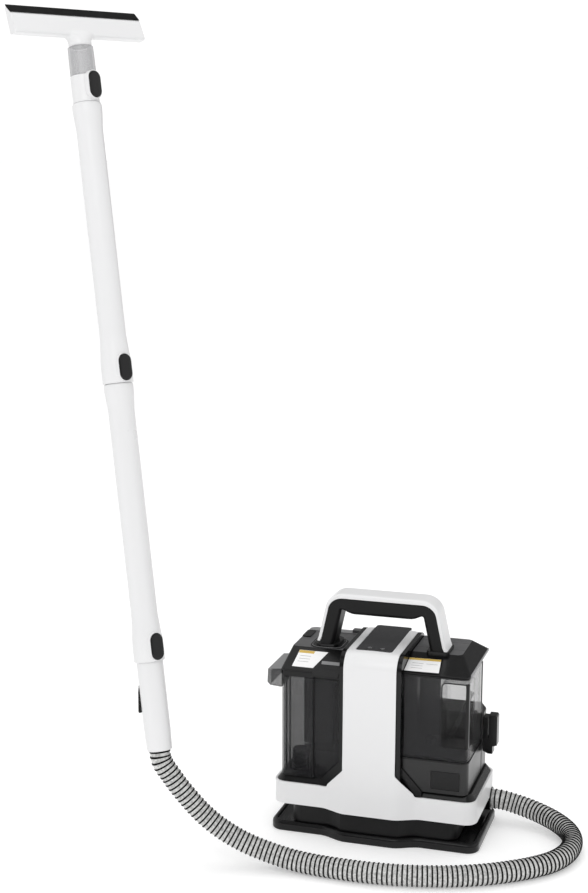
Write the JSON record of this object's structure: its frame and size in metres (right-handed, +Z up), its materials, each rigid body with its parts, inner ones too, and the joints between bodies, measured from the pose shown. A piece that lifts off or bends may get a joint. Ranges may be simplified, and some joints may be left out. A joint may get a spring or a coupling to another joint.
{
  "type": "spot extractor",
  "caption": "Portable spray-extraction spot cleaner with side-mounted clean and dirty water tanks, arched carry handle, ribbed hose and standing tube wand.",
  "frame": {"origin": "middle of the machine's flat underside, on the surface it stands on", "axes": "+Z up, +X to the clean tank and the hose outlet, -Y out of the front"},
  "size_m": [0.8961, 0.3654, 1.3102],
  "materials": {
    "white_plastic": "satin white moulded plastic",
    "black_plastic": "gloss black moulded plastic",
    "black_matte": "fine matte black plastic",
    "panel_glass": "dark polished window",
    "smoked_clear": "smoked clear plastic",
    "clear_plastic": "clear plastic",
    "rubber": "soft black rubber",
    "hose_grey": "ribbed grey hose",
    "steel": "brushed steel",
    "green_board": "green circuit board"
  },
  "bodies": {
    "machine": {"base_tray": "black_plastic", "rubber_foot_1": "rubber", "rubber_foot_2": "rubber", "rubber_foot_3": "rubber", "rubber_foot_4": "rubber", "base_plinth": "black_matte", "hose_connector": "black_plastic", "body_shell": "white_plastic", "chassis_spine": "black_plastic", "left_bay_floor": "black_plastic", "right_bay_floor": "black_plastic", "left_deck": "black_plastic", "right_deck": "black_plastic", "handle_shell": "white_plastic", "handle_grip": "black_matte", "handle_pedestal": "black_matte", "control_panel": "panel_glass", "side_hook": "black_plastic", "pump_housing": "black_plastic", "pump_access_lid": "black_plastic", "rear_housing": "black_plastic", "motor_can": "steel", "fan_housing": "black_matte", "exhaust_silencer": "black_matte", "circuit_board": "green_board", "water_pump": "black_matte", "cord_inlet": "black_matte", "vacuum_hose": "hose_grey", "wand_handle": "white_plastic", "trigger_pin": "steel"},
    "dirty_tank_group": {"dirty_tank": "smoked_clear", "dirty_tank_lid": "black_plastic", "tank_ledge": "smoked_clear", "inlet_duct": "black_matte", "float_cage": "black_matte", "strainer": "black_matte"},
    "float_ball": {"float": "white_plastic"},
    "clean_tank_group": {"clean_tank": "smoked_clear", "clean_tank_lid": "black_plastic", "corner_grip": "black_plastic", "outlet_valve": "black_matte"},
    "filler_cap": {"fill_cap": "black_matte"},
    "tank_valve": {"valve_plunger": "rubber"},
    "power_button": {"power_key": "panel_glass"},
    "mode_button": {"mode_key": "panel_glass"},
    "fan": {"fan_impeller": "black_matte"},
    "trigger": {"spray_trigger": "black_plastic"},
    "lower_wand_tube": {"lower_tube": "white_plastic"},
    "lower_release": {"lower_button": "black_plastic"},
    "upper_wand_tube": {"upper_tube": "white_plastic"},
    "upper_release": {"upper_button": "black_plastic"},
    "nozzle": {"neck_coupler": "white_plastic", "clear_neck": "clear_plastic", "nozzle_head": "white_plastic", "rubber_lip": "rubber"},
    "nozzle_release": {"neck_button": "black_plastic"}
  },
  "joints": [
    {"name": "dirty_tank_slide", "type": "slide", "parent": "machine", "child": "dirty_tank_group", "axis": [-1, 0, 0], "range_m": [0, 0.115]},
    {"name": "float_rise", "type": "slide", "parent": "dirty_tank_group", "child": "float_ball", "axis": [0, 0, 1], "range_m": [0, 0.04]},
    {"name": "clean_tank_slide", "type": "slide", "parent": "machine", "child": "clean_tank_group", "axis": [1, 0, 0], "range_m": [0, 0.12]},
    {"name": "fill_cap_turn", "type": "hinge", "parent": "clean_tank_group", "child": "filler_cap", "pos_m": [0.078, -0.012, 0.2835], "axis": [0, 0, 1], "range_deg": [0, 90]},
    {"name": "valve_lift", "type": "slide", "parent": "clean_tank_group", "child": "tank_valve", "axis": [0, 0, 1], "range_m": [0, 0.004], "stiffness_N_per_m": 200, "springref_m": -0.003},
    {"name": "power_key_press", "type": "slide", "parent": "machine", "child": "power_button", "axis": [0, 0, -1], "range_m": [0, 0.0008], "stiffness_N_per_m": 800, "springref_m": -0.001},
    {"name": "mode_key_press", "type": "slide", "parent": "machine", "child": "mode_button", "axis": [0, 0, -1], "range_m": [0, 0.0008], "stiffness_N_per_m": 800, "springref_m": -0.001},
    {"name": "fan_spin", "type": "hinge", "parent": "machine", "child": "fan", "pos_m": [-0.003, 0, 0.2], "axis": [0, 0, 1], "continuous": true},
    {"name": "trigger_squeeze", "type": "hinge", "parent": "machine", "child": "trigger", "pos_m": [-0.32923, -0.23588, 0.27857], "axis": [0.1226, -0.9788, 0.1641], "range_deg": [0, 6], "stiffness_Nm_per_rad": 0.4, "springref_deg": -5.73},
    {"name": "lower_tube_lift_off", "type": "slide", "parent": "machine", "child": "lower_wand_tube", "axis": [-0.164, 0.1431, 0.976], "range_m": [0, 0.035]},
    {"name": "lower_button_press", "type": "slide", "parent": "lower_wand_tube", "child": "lower_release", "axis": [-0.8094, 0.546, -0.2161], "range_m": [0, 0.0028], "stiffness_N_per_m": 800, "springref_m": -0.002},
    {"name": "upper_tube_lift_off", "type": "slide", "parent": "lower_wand_tube", "child": "upper_wand_tube", "axis": [-0.164, 0.1431, 0.976], "range_m": [0, 0.035]},
    {"name": "upper_button_press", "type": "slide", "parent": "upper_wand_tube", "child": "upper_release", "axis": [-0.8094, 0.546, -0.2161], "range_m": [0, 0.0028], "stiffness_N_per_m": 800, "springref_m": -0.002},
    {"name": "nozzle_lift_off", "type": "slide", "parent": "upper_wand_tube", "child": "nozzle", "axis": [-0.164, 0.1431, 0.976], "range_m": [0, 0.035]},
    {"name": "neck_button_press", "type": "slide", "parent": "nozzle", "child": "nozzle_release", "axis": [-0.8721, 0.4414, -0.2112], "range_m": [0, 0.0028], "stiffness_N_per_m": 800, "springref_m": -0.002}
  ]
}
